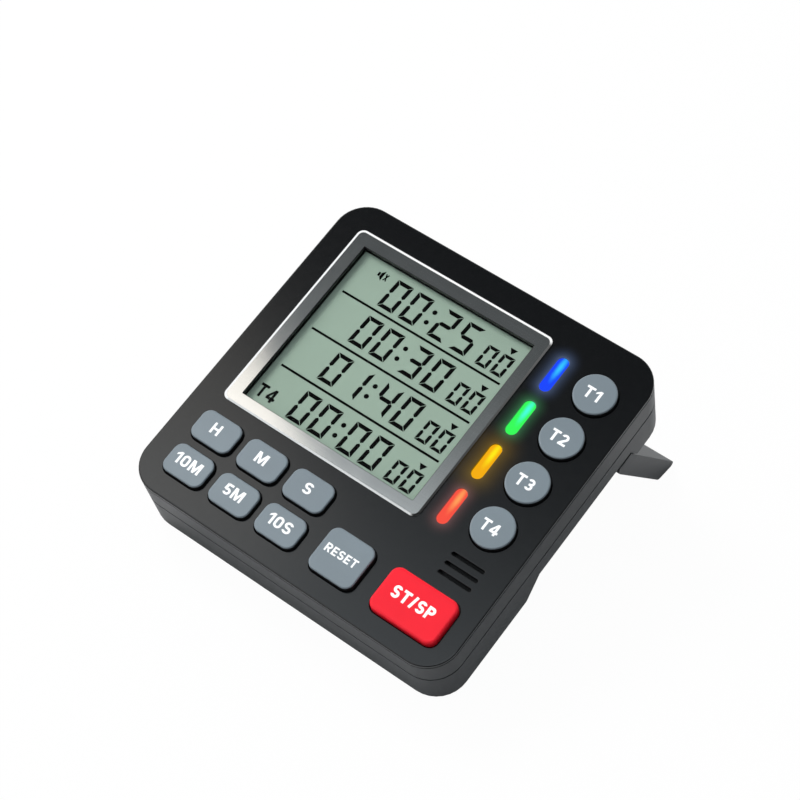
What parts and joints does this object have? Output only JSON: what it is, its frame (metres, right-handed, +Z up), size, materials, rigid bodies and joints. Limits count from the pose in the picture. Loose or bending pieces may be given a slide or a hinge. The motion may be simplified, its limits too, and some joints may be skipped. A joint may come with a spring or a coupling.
{
  "type": "digital kitchen timer",
  "caption": "Square desktop countdown timer with a metal-framed display, time, reset and start keys, channel keys with light bars, and a fold-out stand that leans it back.",
  "frame": {"origin": "on the table, under the middle of the leaned-back timer's bounding box", "axes": "+Z up from the table, +X to the right as the display is read, +Y to the back, towards the stand"},
  "size_m": [0.09, 0.1012, 0.0469],
  "materials": {
    "panel_black": "satin black, finely textured",
    "case_grey": "satin dark grey",
    "bezel_metal": "brushed, with a polished outer edge",
    "clear_lens": "clear, gloss",
    "lcd_glass": "grey-green reflective display",
    "white_plastic": "white",
    "connector_rubber": "pink silicone",
    "board_green": "solder mask",
    "zinc_steel": "zinc plated",
    "component_black": "black moulding",
    "component_blue": "blue sleeve",
    "cell_sleeve": "printed sleeve, plain",
    "key_grey": "satin grey",
    "key_red": "satin red",
    "key_black": "satin black",
    "light_blue": "lit, diffusing",
    "light_green": "lit, diffusing",
    "light_amber": "lit, diffusing",
    "light_red": "lit, diffusing"
  },
  "bodies": {
    "case": {"face_panel": "panel_black", "front_case": "case_grey", "rear_case": "case_grey", "bezel_frame": "bezel_metal", "display_lens": "clear_lens", "lcd_panel": "lcd_glass", "lcd_holder": "white_plastic", "zebra_strips": "connector_rubber", "circuit_board": "board_green", "board_screws": "zinc_steel", "tact_switches": "component_black", "led_chips": "white_plastic", "buzzer": "component_black", "controller_chip": "component_black", "clock_crystal": "zinc_steel", "capacitor": "component_blue", "battery_cells": "cell_sleeve", "battery_contacts": "zinc_steel", "case_screws": "zinc_steel", "light_bar_blue": "light_blue", "light_bar_green": "light_green", "light_bar_amber": "light_amber", "light_bar_red": "light_red"},
    "key_h": {"key_h": "key_grey", "stem_h": "key_black"},
    "key_m": {"key_m": "key_grey", "stem_m": "key_black"},
    "key_s": {"key_s": "key_grey", "stem_s": "key_black"},
    "key_10m": {"key_10m": "key_grey", "stem_10m": "key_black"},
    "key_5m": {"key_5m": "key_grey", "stem_5m": "key_black"},
    "key_10s": {"key_10s": "key_grey", "stem_10s": "key_black"},
    "key_reset": {"key_reset": "key_grey", "stem_reset": "key_black"},
    "key_start": {"key_start": "key_red", "stem_start": "key_black"},
    "key_t1": {"key_t1": "key_grey", "stem_t1": "key_black"},
    "key_t2": {"key_t2": "key_grey", "stem_t2": "key_black"},
    "key_t3": {"key_t3": "key_grey", "stem_t3": "key_black"},
    "key_t4": {"key_t4": "key_grey", "stem_t4": "key_black"},
    "stand": {"stand": "case_grey", "hinge_pins": "zinc_steel"},
    "battery_door": {"battery_door": "case_grey"}
  },
  "joints": [
    {"name": "press_h", "type": "slide", "parent": "case", "child": "key_h", "axis": [0, 0.3164, -0.9486], "range_m": [0, 0.0007], "stiffness_N_per_m": 800},
    {"name": "press_m", "type": "slide", "parent": "case", "child": "key_m", "axis": [0, 0.3164, -0.9486], "range_m": [0, 0.0007], "stiffness_N_per_m": 800},
    {"name": "press_s", "type": "slide", "parent": "case", "child": "key_s", "axis": [0, 0.3164, -0.9486], "range_m": [0, 0.0007], "stiffness_N_per_m": 800},
    {"name": "press_10m", "type": "slide", "parent": "case", "child": "key_10m", "axis": [0, 0.3164, -0.9486], "range_m": [0, 0.0007], "stiffness_N_per_m": 800},
    {"name": "press_5m", "type": "slide", "parent": "case", "child": "key_5m", "axis": [0, 0.3164, -0.9486], "range_m": [0, 0.0007], "stiffness_N_per_m": 800},
    {"name": "press_10s", "type": "slide", "parent": "case", "child": "key_10s", "axis": [0, 0.3164, -0.9486], "range_m": [0, 0.0007], "stiffness_N_per_m": 800},
    {"name": "press_reset", "type": "slide", "parent": "case", "child": "key_reset", "axis": [0, 0.3164, -0.9486], "range_m": [0, 0.0007], "stiffness_N_per_m": 800},
    {"name": "press_start", "type": "slide", "parent": "case", "child": "key_start", "axis": [0, 0.3164, -0.9486], "range_m": [0, 0.0007], "stiffness_N_per_m": 800},
    {"name": "press_t1", "type": "slide", "parent": "case", "child": "key_t1", "axis": [0, 0.3164, -0.9486], "range_m": [0, 0.0007], "stiffness_N_per_m": 800},
    {"name": "press_t2", "type": "slide", "parent": "case", "child": "key_t2", "axis": [0, 0.3164, -0.9486], "range_m": [0, 0.0007], "stiffness_N_per_m": 800},
    {"name": "press_t3", "type": "slide", "parent": "case", "child": "key_t3", "axis": [0, 0.3164, -0.9486], "range_m": [0, 0.0007], "stiffness_N_per_m": 800},
    {"name": "press_t4", "type": "slide", "parent": "case", "child": "key_t4", "axis": [0, 0.3164, -0.9486], "range_m": [0, 0.0007], "stiffness_N_per_m": 800},
    {"name": "stand_fold", "type": "hinge", "parent": "case", "child": "stand", "pos_m": [0, 0.0227, 0.02503], "axis": [-1, 0, 0], "range_deg": [0, 116.9]},
    {"name": "door_slide", "type": "slide", "parent": "case", "child": "battery_door", "axis": [0, 0.9486, 0.3164], "range_m": [0, 0.0038]}
  ]
}
